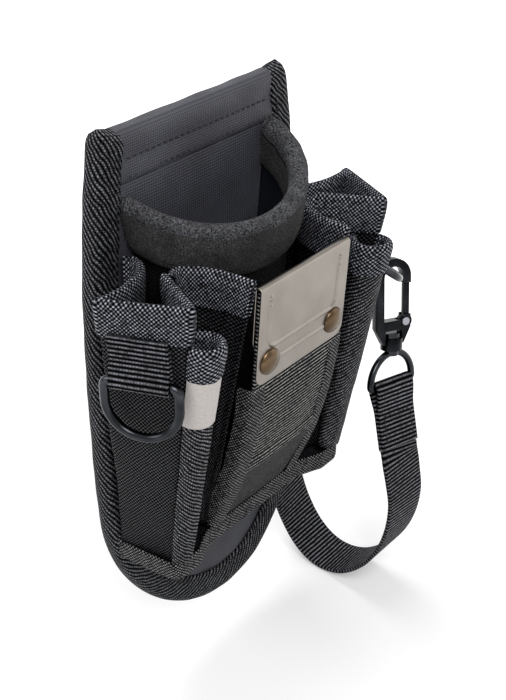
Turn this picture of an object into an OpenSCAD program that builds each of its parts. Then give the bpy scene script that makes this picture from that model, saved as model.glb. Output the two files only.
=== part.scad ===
// Electrician's tool pouch: a stiff back panel that hangs from a trouser belt, with a half-round
// main pocket, a flat centre pocket with a steel tape clip, two pleated side pockets, a D-ring on
// each side and a webbing strap that a swivel snap hook clips to the right D-ring.
// Millimetres. Front is -Y, up is +Z. The origin is the middle of the belt tunnel.

/* [Back panel] */
// Width across the top edge
panel_top_w = 115; // [105:1:125]
// Width at the widest place
panel_w = 136; // [128:1:150]
// Height from the lowest point to the top edge
panel_h = 256; // [240:1:300]
// Height of the rounded toe
toe_h = 77; // [60:1:90]
// Height at which the sides start to draw in
waist_h = 140; // [120:1:170]
// Thickness of each skin
skin_t = 1.2; // [0.8:0.1:2]
// Thickness of the stiffener board
board_t = 3.1; // [2:0.1:5]
// Visible width of the edge binding
binding_w = 12; // [8:0.5:15]
// Thickness of binding tape
tape_t = 1.2; // [0.8:0.1:2]
// Height of the rolled hem along the top
hem_h = 20; // [12:1:28]

/* [Belt loop] */
// Height of the belt's line above the panel's lowest point
belt_z = 190; // [170:1:200]
// Height of the belt tunnel
tunnel_h = 56; // [42:1:60]
// Depth of the belt tunnel
tunnel_d = 7; // [5:0.5:10]
// Width of the belt loop
belt_loop_w = 70; // [50:1:90]
// Thickness of the belt loop
belt_loop_t = 2.5; // [1.5:0.1:4]
// Height of each sewn end of the belt loop
belt_sewn_h = 16; // [12:1:18]

/* [Main pocket] */
// Width of the mouth over the shell
mouth_w = 92; // [80:1:98]
// Depth of the mouth over the shell
mouth_d = 44; // [38:1:46]
// Width of the pocket at its bottom
main_foot_w = 50; // [40:1:56]
// Depth of the pocket at its bottom
main_foot_d = 22; // [16:1:24]
// Height of the rim where it meets the panel
rim_z = 231; // [222:1:234]
// Fall of the rim from the panel to the front
rim_fall = 15; // [8:1:20]
// Height of the rim band
rim_h = 22; // [16:1:26]
// Thickness of the rim band outside the shell
rim_t = 2.4; // [1.5:0.1:3]
// Thickness of the shell
shell_t = 1.4; // [1:0.1:2]
// Thickness of the liner sheet
liner_t = 1; // [0.6:0.1:1.5]

/* [Side pockets] */
// Half the distance between the outer rear corners at the mouth
corner_x = 81; // [78:0.5:86]
// Distance of those corners in front of the panel
corner_y = 19; // [16:0.5:22]
// Half the distance between the front corners at the mouth
front_x = 64.5; // [62:0.5:68]
// Distance of the front corners in front of the panel
front_y = 52.5; // [50:0.5:56]
// Height of the side pockets' mouths
side_z = 203; // [196:0.5:206]
// Height of the pockets' floor
floor_z = 64; // [58:0.5:70]
// Thickness of the pocket cloth
wall_t = 1.6; // [1.2:0.1:2.2]
// Height of the tape round the mouths
mouth_tape_h = 16; // [10:0.5:18]
// Distance of the pen pockets' mouths below that tape
pen_drop = 0.5; // [0.5:0.5:10]

/* [Centre pocket] */
// Width of the centre pocket
centre_w = 60; // [54:1:64]
// Distance of its top edge in front of the panel
centre_top_y = 57.5; // [55:0.5:60]
// Height of its top edge
centre_top_z = 197; // [190:1:200]
// Height of the fold above the bottom flap
fold_z = 101; // [96:1:106]
// Thickness of the ribbed cloth
rib_t = 1.6; // [1.2:0.1:2.2]

/* [Tape clip] */
// Width of the steel clip
clip_w = 60; // [54:1:64]
// Height of the clip's front leaf
clip_h = 47; // [42:1:52]
// Thickness of the steel
clip_t = 0.8; // [0.6:0.1:1.2]
// Distance between the two rivets
rivet_pitch = 44; // [36:1:46]
// Height of the rivets above the clip's lower edge
rivet_up = 10; // [8:0.5:14]
// Radius of a rivet's shank
rivet_r = 1.6; // [1.2:0.1:2]
// Radius of a rivet's head
rivet_head_r = 5.6; // [4.5:0.1:6.5]

/* [D-rings] */
// Width of the webbing that the rings and the hook take
web_w = 25; // [20:1:30]
// Thickness of the webbing
web_t = 1.8; // [1.4:0.1:2.2]
// Radius of a ring's wire
ring_wire_r = 2; // [1.6:0.1:2.5]
// Height of a ring's bar above the panel's lowest point
ring_z = 169; // [160:1:172]
// Angle at which the right ring stands out from the pocket
ring_lift = 50; // [45:1:55]

/* [Snap hook] */
// Radius of the hook's inner bend
jaw_r = 5.5; // [5:0.1:6.5]
// Thickness of the hook's frame
hook_t = 5; // [4:0.1:6]
// Radius of the wire of the swivel eye
eye_wire_r = 1.8; // [1.5:0.1:2]
// Radius of the swivel's stem
stem_r = 2.5; // [2:0.1:2.8]
// Radius of the gate's pin
gate_pin_r = 1.2; // [1:0.1:1.5]
// Radial clearance of a turning fit
fit_gap = 0.08; // [0.05:0.01:0.1]

/* [Hidden] */
$fn = 48;

panel_t = 2 * skin_t + board_t;
tunnel_y = panel_t + tunnel_d / 2;
sew_gap = 0.1;
soft_gap = 0.3;
side_steps = 10;
toe_steps = 16;

// Everything is laid out from the panel's front face and lowest point, then moved to the belt's line
module on_panel() translate([0, -tunnel_y, -belt_z]) children();

// Half width of the panel's outline at height z, drawn in by d
function flank(z, d) = let (k = max(0, (z - waist_h) / (panel_h - waist_h)))
    panel_w / 2 - d + (panel_top_w - panel_w) / 2 * k * k;
function toe(d) = [for (i = [0:toe_steps]) let (a = 90 * i / toe_steps)
    [(panel_w / 2 - d) * sin(a), toe_h - (toe_h - d) * cos(a)]];
function side(d, top) = [for (i = [1:side_steps]) let (z = toe_h + (top - toe_h) * i / side_steps)
    [flank(z, d), z]];
function mirrored(pts) = [for (i = [len(pts) - 1:-1:0]) if (pts[i][0] > 0) [-pts[i][0], pts[i][1]]];
function outline(d, top) = let (half = concat(toe(d), side(d, top))) concat(half, mirrored(half));

// A flat sheet on the panel's outline between two distances behind its front face
module sheet(y0, y1, d, top)
    translate([0, y1, 0]) rotate([90, 0, 0]) linear_extrude(y1 - y0) polygon(outline(d, top));

// A sheet of cloth of thickness t that joins a path of points at height z0 to one at height z1
function unit(v) = v / norm(v);
function square_to(p, i) = let (a = p[max(0, i - 1)], b = p[min(len(p) - 1, i + 1)], u = unit(b - a))
    [-u[1], u[0]];
function ribbon_ring(p, t, z) = concat(
    [for (i = [0:len(p) - 1]) let (q = p[i] + square_to(p, i) * t / 2) [q[0], q[1], z]],
    [for (i = [len(p) - 1:-1:0]) let (q = p[i] - square_to(p, i) * t / 2) [q[0], q[1], z]]);
module cloth_wall(low, high, t, z0, z1, steps) {
    half = len(low);
    n = 2 * half;
    points = [for (k = steps) each ribbon_ring(blend_paths(low, high, k), t, z0 + (z1 - z0) * k)];
    last = n * (len(steps) - 1);
    sides = [for (l = [0:len(steps) - 2]) for (i = [0:n - 1]) let (a = l * n + i, b = l * n + (i + 1) % n)
        each [[a, a + n, b + n], [a, b + n, b]]];
    ends = [for (i = [0:half - 2]) let (k = n - 1 - i) each [[i, i + 1, k - 1], [i, k - 1, k],
        [last + i, last + k - 1, last + i + 1], [last + i, last + k, last + k - 1]]];
    polyhedron(points, concat(sides, ends));
}
// Even shares of a wall's height up to the foot of a tape h tall on its edge, then the edge itself
function even_steps(n, h, z0, z1) = concat([for (i = [0:n]) (1 - h / (z1 - z0)) * i / n], [1]);
function blend_paths(low, high, k) = [for (i = [0:len(low) - 1]) low[i] + (high[i] - low[i]) * k];

// Left pocket: the cloth leaves the panel, folds out to the rear corner, runs to the front corner
// and folds back in to the valley beside the centre pocket
main_side_x = mouth_w / 2;
rear_i = 4;
face_steps = 3;
front_i = rear_i + face_steps;
function split_face(p) = [for (i = [0:len(p) - 1]) each i == rear_i ?
    [for (k = [0:face_steps - 1]) p[i] + (p[i + 1] - p[i]) * k / face_steps] : [p[i]]];
foot_rear = [-62.5, -4];
foot_front = [-58.5, -31];
valley_foot = [-36, -20];
valley_mouth = [-main_side_x - 4, -25];
panel_side_y = -tape_t - 1.2;
pocket_high = split_face([[-main_side_x - 4, panel_side_y], [-main_side_x - 2.5, -9],
    [-main_side_x - 8, -16], [-corner_x + 14, -corner_y - 1], [-corner_x, -corner_y],
    [-front_x, -front_y], [-front_x + 8, -front_y + 15], valley_mouth]);
pocket_low = split_face([[-main_side_x - 4, panel_side_y], [-main_side_x - 7, -3],
    [-main_side_x - 10, -3], foot_rear + [1.5, 1], foot_rear, foot_front, foot_front + [6.5, 6],
    valley_foot]);
function wall_at(z) = blend_paths(pocket_low, pocket_high, (z - floor_z) / (side_z - floor_z));
function outward(u) = [u[1], -u[0]];
// A point beside the wall's front corner: along the face that starts at point i, from the corner
function by_corner(z, i, along) = let (w = wall_at(z), u = unit(w[i + 1] - w[i]))
    w[front_i] + u * along + outward(u) * (wall_t + tape_t + sew_gap);

// Centre gusset: from the valley forward to the edge of the ribbed front
gusset_foot_x = centre_w / 2 + wall_t;
gusset_high = [valley_mouth + [2.2, -2.3], [-main_side_x + 7, -27], [-gusset_foot_x - 2, -36],
    [-gusset_foot_x - 0.5, -46], [-gusset_foot_x, -centre_top_y + 1]];
gusset_low = [valley_foot + [0, -2.5], [-33.5, -23], [-32.5, -24.5], [-32, -26], [-gusset_foot_x, -29]];

floor_t = 2;
floor_tape_h = 10;
cloth_foot_z = floor_z + 3 + sew_gap;
// Pen pocket: a narrow fold that bulges in front of the pocket's front corner
pen_top_z = side_z - mouth_tape_h - pen_drop - tape_t - sew_gap;
pen_foot_z = cloth_foot_z;
pen_high = [by_corner(pen_top_z, front_i - 1, 2), [-front_x + 1.5, -front_y - 2.8],
    [-front_x + 6.5, -front_y - 6], [-front_x + 12.5, -front_y - 4.5], [-front_x + 15, -front_y + 2.5],
    by_corner(pen_top_z, front_i, 10.5)];
pen_low = [by_corner(pen_foot_z, front_i - 1, 1), foot_front + [-0.5, -4.5], foot_front + [3.5, -6],
    foot_front + [8, -5], foot_front + [9, -1], by_corner(pen_foot_z, front_i, 7)];

// Tape folded over the top edge of a cloth wall: a U section that follows the wall's path
function tape_ring(q, p, m, n, z0, z1, gap) = let (a = wall_t / 2 + tape_t, b = wall_t / 2 + gap) [
    [each (q + m * a), z0], [each (p + n * a), z1 + tape_t], [each (p - n * a), z1 + tape_t],
    [each (q - m * a), z0], [each (q - m * b), z0], [each (p - n * b), z1 + gap],
    [each (p + n * b), z1 + gap], [each (q + m * b), z0]];
module tape_over(low, high, z0, z1, h, gap) {
    foot = blend_paths(low, high, (z1 - h - z0) / (z1 - z0));
    n = len(high);
    points = [for (i = [0:n - 1]) each
        tape_ring(foot[i], high[i], square_to(foot, i), square_to(high, i), z1 - h, z1, gap)];
    sides = [for (i = [0:n - 2]) for (k = [0:7]) let (a = 8 * i + k, b = 8 * i + (k + 1) % 8) each
        k == 4 || k == 6 ? [[a, b, a + 8], [b, b + 8, a + 8]] : [[a, b, b + 8], [a, b + 8, a + 8]]];
    cap = [[0, 7, 1], [1, 7, 6], [1, 6, 2], [2, 6, 5], [2, 5, 3], [3, 5, 4]];
    last = 8 * (n - 1);
    polyhedron(points, concat(sides, cap, [for (f = cap) [last + f[0], last + f[2], last + f[1]]]));
}
wall_steps = 7;
module pocket_wall() cloth_wall(pocket_low, pocket_high, wall_t, floor_z, side_z,
    even_steps(wall_steps, mouth_tape_h, floor_z, side_z));
module mouth_tape() tape_over(pocket_low, pocket_high, floor_z, side_z, mouth_tape_h, sew_gap);
module pen_pocket() cloth_wall(pen_low, pen_high, wall_t, pen_foot_z, pen_top_z,
    even_steps(wall_steps, mouth_tape_h, pen_foot_z, pen_top_z));
module pen_tape() tape_over(pen_low, pen_high, pen_foot_z, pen_top_z, mouth_tape_h, sew_gap);

// A half-round slice w wide that stands d in front of the panel, with its back cut flat
module half_round(w, d) intersection() {
    resize([w, 2 * d]) circle(r = d, $fn = 56);
    translate([-w, -2 * d]) square([2 * w, 2 * d - seat_y]);
}
seat_y = sew_gap;
liner_gap = 2 * sew_gap;
main_foot_z = 78;
// The half-round body, drawn in by d on its curved side
module main_body(d, z0, z1) hull() {
    translate([0, 0, z0]) linear_extrude(0.2) half_round(main_foot_w - 2 * d, main_foot_d - d);
    translate([0, 0, z1]) linear_extrude(0.2) half_round(mouth_w - 2 * d, mouth_d - d);
}
// Keeps what lies below the plane of the mouth, which falls from the panel to the front
module below_mouth(drop) {
    tilt = atan(rim_fall / mouth_d);
    intersection() {
        children();
        translate([0, 0, rim_z - drop]) rotate([tilt, 0, 0])
            translate([-mouth_w, -3 * mouth_d, -2 * panel_h]) cube([2 * mouth_w, 4 * mouth_d, 2 * panel_h]);
    }
}

module back_panel_front_skin() color("#3a3a40") on_panel()
    sheet(0, skin_t, tape_t, panel_h - tape_t);

module back_panel_board() color("#202022") on_panel()
    sheet(skin_t, skin_t + board_t, tape_t, panel_h - tape_t);

module back_panel_rear_skin() color("#2c2c30") on_panel()
    sheet(skin_t + board_t, panel_t, tape_t, panel_h - tape_t);

module panel_edge_binding() color("#1c1c1f") on_panel() difference() {
    sheet(-tape_t, panel_t + tape_t, 0, panel_h);
    sheet(0, panel_t, tape_t, panel_h - tape_t);
    sheet(-2 * tape_t, panel_t + 2 * tape_t, binding_w, panel_h + tape_t);
}

module top_hem() color("#54535c") on_panel() difference() {
    hem_w = panel_top_w - 2 * binding_w - 2 * sew_gap;
    translate([-hem_w / 2, -tape_t, panel_h - hem_h]) cube([hem_w, panel_t + 2 * tape_t, hem_h]);
    sheet(0, panel_t, tape_t, panel_h - tape_t);
}

// The loop's ends lie flat on the rear skin and its middle stands off it by the tunnel's depth
module belt_loop() color("#242427") on_panel() {
    y0 = panel_t;
    y1 = panel_t + tunnel_d;
    z0 = belt_z - tunnel_h / 2;
    z1 = belt_z + tunnel_h / 2;
    translate([-belt_loop_w / 2, 0, 0]) rotate([90, 0, 90]) linear_extrude(belt_loop_w)
        polygon([[y0, z0 - belt_sewn_h], [y0, z0], [y1, z0], [y1, z1], [y0, z1], [y0, z1 + belt_sewn_h],
            [y0 + belt_loop_t, z1 + belt_sewn_h], [y0 + belt_loop_t, z1 + belt_loop_t],
            [y1 + belt_loop_t, z1 + belt_loop_t], [y1 + belt_loop_t, z0 - belt_loop_t],
            [y0 + belt_loop_t, z0 - belt_loop_t], [y0 + belt_loop_t, z0 - belt_sewn_h]]);
}

module main_pocket_shell() color("#19191b") on_panel() below_mouth(tape_t) difference() {
    main_body(0, main_foot_z, rim_z);
    main_body(shell_t, main_foot_z - 1, rim_z + 1);
}

module main_pocket_liner() color("#23252c") on_panel() below_mouth(tape_t) difference() {
    main_body(shell_t + liner_gap, main_foot_z, rim_z);
    main_body(shell_t + liner_gap + liner_t, main_foot_z - 1, rim_z + 1);
}

// The rim band wraps the top of shell and liner
module main_pocket_rim() color("#3a3936") on_panel() difference() {
    below_mouth(0) main_body(-rim_t, main_foot_z, rim_z + tape_t);
    below_mouth(rim_h) main_body(-2 * rim_t, main_foot_z, rim_z + tape_t);
    below_mouth(tape_t) main_body(0, main_foot_z, rim_z);
    main_body(shell_t + liner_gap + liner_t, main_foot_z - 1, rim_z + rim_h);
}

// Ribbed front: upright behind the clip, then leaning in to the fold
clip_foot_z = centre_top_z + clip_t + soft_gap + 1 - clip_h;
clip_lean = 4;
front_foot_y = centre_top_y - (centre_top_z - clip_foot_z) * tan(clip_lean);
fold_y = 43;
module centre_profile(pts) color("#2a2925") on_panel()
    translate([-centre_w / 2, 0, 0]) rotate([90, 0, 90]) linear_extrude(centre_w) polygon(pts);

module centre_pocket_front() difference() {
    centre_profile([[-centre_top_y, centre_top_z], [-front_foot_y, clip_foot_z], [-fold_y, fold_z],
        [-fold_y + rib_t, fold_z], [-front_foot_y + rib_t, clip_foot_z],
        [-centre_top_y + rib_t, centre_top_z]]);
    on_clip() at_rivets() clip_bore();
}

flap_foot_y = 27;
flap_foot_z = cloth_foot_z;
module centre_pocket_flap() centre_profile([[-fold_y, fold_z - sew_gap], [-flap_foot_y - 1, flap_foot_z],
    [-flap_foot_y - 1 + rib_t, flap_foot_z], [-fold_y + rib_t, fold_z - sew_gap]]);

module left_centre_gusset() color("#1b1b1d") on_panel()
    cloth_wall(gusset_low, gusset_high, wall_t, flap_foot_z, side_z - 6, [0, 0.5, 1]);
module right_centre_gusset() mirror([1, 0, 0]) left_centre_gusset();

module left_pocket_wall() color("#1d1d20") on_panel() pocket_wall();
module right_pocket_wall() mirror([1, 0, 0]) left_pocket_wall();

module left_mouth_tape() color("#2b2b30") on_panel() mouth_tape();
module right_mouth_tape() mirror([1, 0, 0]) left_mouth_tape();

module left_pen_pocket() color("#1d1d20") on_panel() pen_pocket();
module right_pen_pocket() mirror([1, 0, 0]) left_pen_pocket();

module left_pen_tape() color("#2b2b30") on_panel() pen_tape();
module right_pen_tape() mirror([1, 0, 0]) left_pen_tape();

// Floor that closes all the pockets, and the tape sewn round its edge
floor_edge = wall_t / 2 + 0.6;
floor_left = [foot_rear + [-floor_edge, 2], foot_front + [-floor_edge - 0.3, -floor_edge],
    foot_front + [2, -3.5], foot_front + [12, -3.5], [-34, -flap_foot_y - 2]];
floor_pts = concat(floor_left, [for (i = [len(floor_left) - 1:-1:0]) [-floor_left[i][0], floor_left[i][1]]]);
module pocket_floor() color("#1c1c1f") on_panel()
    translate([0, 0, floor_z - floor_t - sew_gap]) linear_extrude(floor_t) polygon(floor_pts);

module floor_tape() color("#222225") on_panel()
    translate([0, 0, cloth_foot_z - sew_gap - floor_tape_h]) linear_extrude(floor_tape_h) difference() {
        offset(delta = tape_t + sew_gap) polygon(floor_pts);
        offset(delta = sew_gap) polygon(floor_pts);
        translate([-panel_w, -2]) square([2 * panel_w, panel_w]);
    }

// The label follows the front of the left pen pocket, just below its tape
label_h = 24;
label_t = 0.6;
function label_path(z) = let (p = blend_paths(pen_low, pen_high, (z - pen_foot_z) / (pen_top_z - pen_foot_z)))
    [for (i = [1:3]) p[i] - square_to(p, i) * (wall_t / 2 + label_t / 2 + sew_gap)];
module side_label() color("#b9b1ad") on_panel() {
    top = pen_top_z - mouth_tape_h - 0.5;
    cloth_wall(label_path(top - label_h), label_path(top), label_t, top - label_h, top, [0, 0.5, 1]);
}

// The clip's frame: x across, -y out of the front leaf, z up the leaf from its lower edge
module on_clip() on_panel() translate([0, -front_foot_y - 0.05, clip_foot_z]) rotate([clip_lean, 0, 0])
    children();
module at_rivets() for (s = [-1, 1]) translate([s * rivet_pitch / 2, 0, rivet_up]) children();
module clip_bore() rotate([90, 0, 0]) cylinder(r = rivet_r, h = 30, center = true);
clip_back_h = 30;
module tape_clip() color("#a39a92") on_clip() difference() {
    union() {
        translate([-clip_w / 2, -clip_t, 0]) cube([clip_w, clip_t, clip_h]);
        translate([-clip_w / 2, -clip_t, clip_h - clip_t]) cube([clip_w, 2 * clip_t + rib_t + 0.1, clip_t]);
        translate([-clip_w / 2, rib_t + 0.1, clip_h - clip_back_h]) cube([clip_w, clip_t, clip_back_h]);
    }
    at_rivets() clip_bore();
}

washer_t = 0.8;
module clip_rivets() color("#6f6357") on_clip() at_rivets() rotate([90, 0, 0]) {
    translate([0, 0, -rib_t - washer_t - 0.6]) cylinder(r = rivet_r, h = rib_t + washer_t + 0.6 + clip_t);
    translate([0, 0, clip_t]) intersection() {
        translate([0, 0, 2 - rivet_head_r * 1.5]) sphere(r = rivet_head_r * 1.5);
        cylinder(r = rivet_head_r, h = rivet_head_r);
    }
}

module rivet_washers() color("#6f6357") on_clip() at_rivets() rotate([90, 0, 0]) difference() {
    translate([0, 0, -rib_t - 0.1 - washer_t]) cylinder(r = rivet_head_r - 1, h = washer_t);
    cylinder(r = rivet_r, h = 30, center = true);
}

// Frame on the right pocket's outer wall at the ring's height: x out of the wall, y along it to the
// rear, z up. The ring's bar lies along y.
ring_half = web_w / 2 + ring_wire_r + 1.3;
ring_corner = 3.5;
ring_leg = 10;
ring_drop = ring_leg + ring_half;
tab_bore_r = ring_wire_r + fit_gap;
tab_loop_r = tab_bore_r + web_t;
tab_gap = 0.5;
tab_top_gap = 1;
wall_at_ring = wall_at(ring_z);
wall_rear = wall_at_ring[rear_i];
wall_front = wall_at_ring[front_i];
wall_turn = -atan2(wall_front[0] - wall_rear[0], wall_rear[1] - wall_front[1]);
face_rise = (wall_at(side_z)[rear_i] + wall_at(side_z)[front_i] - foot_rear - foot_front) / 2;
wall_lean = atan(face_rise * outward(unit(wall_front - wall_rear)) / (side_z - floor_z));
wall_place = [-(wall_rear[0] + wall_front[0]) / 2, (wall_rear[1] + wall_front[1]) / 2, ring_z];
module on_right_wall() on_panel() translate(wall_place) rotate([0, 0, wall_turn]) children();
bar_out = wall_t / 2 + tab_gap + tab_loop_r;
module on_bar() on_right_wall() rotate([0, wall_lean, 0]) translate([bar_out, 0, 0])
    rotate([0, -wall_lean, 0]) children();

// A bent wire drawn in the x-y plane and then stood up in the y-z plane
module wire_arc(r, wire_r, from, sweep) rotate([0, 0, from]) rotate_extrude(angle = sweep)
    translate([r, 0]) circle(r = wire_r, $fn = 32);
module wire_run(length, wire_r) rotate([0, 90, 0]) cylinder(r = wire_r, h = length, center = true, $fn = 32);
module stand_up() rotate([90, 0, 90]) children();

module d_ring() color("#3a3c42") stand_up() {
    bar = 2 * (ring_half - ring_corner);
    wire_run(bar, ring_wire_r);
    translate([0, -ring_leg, 0]) wire_arc(ring_half, ring_wire_r, 180, 180);
    for (s = [0, 1]) mirror([s, 0, 0]) {
        translate([bar / 2, -ring_corner, 0]) wire_arc(ring_corner, ring_wire_r, 0, 90);
        translate([ring_half, -(ring_corner + ring_leg) / 2, 0]) rotate([0, 0, 90])
            wire_run(ring_leg - ring_corner, ring_wire_r);
    }
}
module left_d_ring() mirror([1, 0, 0]) on_bar() d_ring();
module right_d_ring() on_bar() rotate([0, -ring_lift, 0]) d_ring();

// Webbing folded round the bar and sewn to the wall, up to the mouth's tape
tab_h = side_z - mouth_tape_h - tab_top_gap - ring_z;
module right_ring_tab() color("#2b2b30") on_right_wall() rotate([0, wall_lean, 0])
    translate([bar_out - tab_loop_r, -web_w / 2, 0]) difference() {
        union() {
            cube([2 * web_t, web_w, tab_h]);
            translate([tab_loop_r, 0, 0]) rotate([-90, 0, 0]) cylinder(r = tab_loop_r, h = web_w);
        }
        translate([tab_loop_r, -1, 0]) rotate([-90, 0, 0]) cylinder(r = tab_bore_r, h = web_w + 2);
    }
module left_ring_tab() mirror([1, 0, 0]) right_ring_tab();

// Frame of the snap hook: z along its stem, x towards the gate. The origin is the middle of the
// ring's wire where it sits in the hook.
hook_turn = [-12, 4, -26];
module on_wire() on_bar() rotate([0, -ring_lift, 0]) translate([0, 0, -ring_drop])
    rotate([0, ring_lift, 0]) rotate([0, 0, -wall_turn]) children();
hook_rim = 4;
hook_out = jaw_r + hook_rim;
seat_gap = 1.2;
hook_len = 37;
barrel_r = 5.5;
barrel_h = 6;
window_h = 4;
head_h = 2.4;
head_r = 4.2;
head_gap = 0.15;
shoulder_z = 11;
pin_x = 6.6;
pin_z = 14;
mouth_foot = pin_z + 3.5;
nose_z = hook_len - 3.5;
hook_hang = hook_len + jaw_r - ring_wire_r - seat_gap;
module on_hook() on_wire() rotate(hook_turn)
    translate([0, 0, -hook_hang]) children();
module hook_slab(t, y) translate([0, y + t / 2, 0]) rotate([90, 0, 0]) linear_extrude(t) children();

gate_slot = 3.2;
gate_t = 2.3;
gate_y = -0.35;
ear_r = 3.6;
module hook_frame() color("#26272b") on_hook() difference() {
    union() {
        hook_slab(hook_t, 0) difference() {
            union() {
                translate([0, hook_len]) circle(r = hook_out);
                translate([-hook_out, pin_z]) square([2 * hook_out, hook_len - pin_z]);
                polygon([[-barrel_r, 3], [barrel_r, 3], [hook_out, shoulder_z], [hook_out, pin_z],
                    [-hook_out, pin_z], [-hook_out, shoulder_z]]);
                translate([pin_x, pin_z]) circle(r = ear_r);
            }
            translate([0, hook_len]) circle(r = jaw_r);
            translate([-jaw_r, pin_z + 1]) square([2 * jaw_r, hook_len - pin_z - 1]);
            translate([jaw_r - 0.1, mouth_foot]) square([hook_rim + 1, nose_z - mouth_foot]);
        }
        cylinder(r = barrel_r, h = barrel_h);
    }
    translate([0, 0, -1]) cylinder(r = stem_r + fit_gap, h = barrel_h + 2);
    translate([-head_r - 0.4, -hook_t, barrel_h]) cube([2 * head_r + 0.8, 2 * hook_t, window_h]);
    translate([2.4, -gate_slot / 2, shoulder_z]) cube([2 * hook_rim, gate_slot, mouth_foot]);
    translate([pin_x, 0, pin_z]) rotate([90, 0, 0]) cylinder(r = gate_pin_r, h = 2 * hook_t, center = true);
}

pin_head_r = 2;
pin_head_h = 0.5;
module gate_pin() color("#8b8e94") on_hook() translate([pin_x, 0, pin_z]) rotate([90, 0, 0]) {
    cylinder(r = gate_pin_r, h = hook_t, center = true);
    for (s = [-1, 1]) translate([0, 0, s * (hook_t + pin_head_h) / 2])
        cylinder(r = pin_head_r, h = pin_head_h, center = true);
}

gate_w = 3.4;
gate_root_r = 2.9;
module hook_gate() color("#303136") on_hook() difference() {
    hook_slab(gate_t, gate_y) {
        translate([pin_x, pin_z]) circle(r = gate_root_r);
        translate([hook_out - gate_w - 0.2, pin_z]) square([gate_w, nose_z - 0.4 - pin_z]);
    }
    translate([pin_x, 0, pin_z]) rotate([90, 0, 0])
        cylinder(r = gate_pin_r + fit_gap, h = 2 * hook_t, center = true);
}

// Small coil between the gate's root and one ear
spring_t = 0.6;
module gate_spring() color("#9a9ca2") on_hook() translate([pin_x, gate_slot / 2 - spring_t - 0.08, pin_z])
    rotate([-90, 0, 0]) difference() {
        cylinder(r = gate_root_r - 0.6, h = spring_t);
        translate([0, 0, -1]) cylinder(r = gate_pin_r + 0.2, h = 2 + spring_t);
    }

// Swivel eye: the stem's head turns in the window above the barrel, the bar carries the strap
eye_turn = 16;
eye_corner = 2;
eye_half = web_w / 2 + eye_corner + 0.3;
eye_top = -eye_wire_r - 0.2;
bar_z = eye_top - eye_half - eye_corner;
module on_eye() on_hook() rotate([0, 0, eye_turn]) children();
module swivel_eye() color("#3a3c42") on_eye() {
    collar_r = stem_r + 1;
    translate([0, 0, eye_top]) cylinder(r = stem_r, h = barrel_h + head_gap - eye_top);
    translate([0, 0, eye_top - 1]) cylinder(r = collar_r, h = 1 - eye_top - head_gap);
    translate([0, 0, barrel_h + head_gap]) cylinder(r = head_r, h = head_h);
    rotate([90, 0, 0]) {
        translate([0, bar_z + eye_corner, 0]) wire_arc(eye_half, eye_wire_r, 0, 180);
        translate([0, bar_z, 0]) wire_run(2 * (eye_half - eye_corner), eye_wire_r);
        for (s = [0, 1]) mirror([s, 0, 0]) translate([eye_half - eye_corner, bar_z + eye_corner, 0])
            wire_arc(eye_corner, eye_wire_r, 270, 90);
    }
}

// The strap's end is folded round the eye's bar and stitched down on itself
fold_tilt = -10;
fold_bore_r = eye_wire_r + fit_gap;
fold_r = fold_bore_r + web_t;
fold_h = 32;
fold_neck = 12;
module strap_end_loop() color("#2a2a2e") on_eye() translate([0, 0, bar_z]) rotate([fold_tilt, 0, 0])
    translate([-web_w / 2, 0, 0]) rotate([90, 0, 90]) linear_extrude(web_w) difference() {
        union() {
            circle(r = fold_r);
            polygon([[-fold_r, 0], [-web_t, -fold_neck], [-web_t, -fold_h], [web_t, -fold_h],
                [web_t, -fold_neck], [fold_r, 0]]);
        }
        circle(r = fold_bore_r);
    }

// Where a point of the fold's frame lies on the panel, one frame after another
function turned(v, a) = let (
    x = [v[0], v[1] * cos(a[0]) - v[2] * sin(a[0]), v[1] * sin(a[0]) + v[2] * cos(a[0])],
    y = [x[0] * cos(a[1]) + x[2] * sin(a[1]), x[1], x[2] * cos(a[1]) - x[0] * sin(a[1])])
    [y[0] * cos(a[2]) - y[1] * sin(a[2]), y[0] * sin(a[2]) + y[1] * cos(a[2]), y[2]];
function from_eye(v) = turned(turned(v, [0, 0, eye_turn]) - [0, 0, hook_hang], hook_turn);
function from_bar(v) = wall_place + turned(turned([bar_out, 0, 0], [0, wall_lean, 0])
    + turned([0, 0, -ring_drop], [0, -ring_lift, 0]) + turned(v, [0, 0, -wall_turn]), [0, 0, wall_turn]);
function from_fold(v) = from_bar(from_eye([0, 0, bar_z] + turned(v, [fold_tilt, 0, 0])));

// Free strap: from the fold's stitched end down, forward and round, then up behind the panel, where
// its last stretch is sewn flat over the edge binding. Its upper points follow the fold's end.
strap_y = panel_t + tape_t + web_t / 2 + sew_gap;
strap_start = fold_h + 0.75;
strap_lead = 6;
strap_bends = [[78, -60.6, 64.8], [77.5, -64.5, 49], [78, -66.5, 34], [77.5, -65, 18], [77, -60, 3],
    [76.5, -52, -10], [76, -41, -20.5], [76, -29, -25.5], [76, -17, -24.5], [76, -6, -17],
    [75.5, 2.5, -4], [73.5, 6.5, 11], [70, strap_y, 27], [65.5, strap_y, 43], [61, strap_y, 59],
    [56.5, strap_y, 75]];
strap_follow = 9;
strap_shift = from_fold([0, 0, -strap_start]) - strap_bends[0];
strap_route = concat([from_fold([0, 0, -strap_start]), from_fold([0, 0, -strap_start - strap_lead])],
    [for (i = [1:len(strap_bends) - 1]) strap_bends[i] + strap_shift * max(0, 1 - i / strap_follow)]);
strap_cut_side = from_fold([1, 0, 0]) - from_fold([0, 0, 0]);
strap_sewn_side = [1, 0, 0];
route_steps = 3;
function smooth_at(p, i, u) = let (n = len(p) - 1, a = p[max(0, i - 1)], b = p[i], c = p[i + 1],
    d = p[min(n, i + 2)])
    0.5 * (2 * b + (c - a) * u + (2 * a - 5 * b + 4 * c - d) * u * u + (3 * b - a - 3 * c + d) * u * u * u);
function smooth(p, steps) = concat(
    [for (i = [0:len(p) - 2]) for (k = [0:steps - 1]) smooth_at(p, i, k / steps)], [p[len(p) - 1]]);
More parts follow.
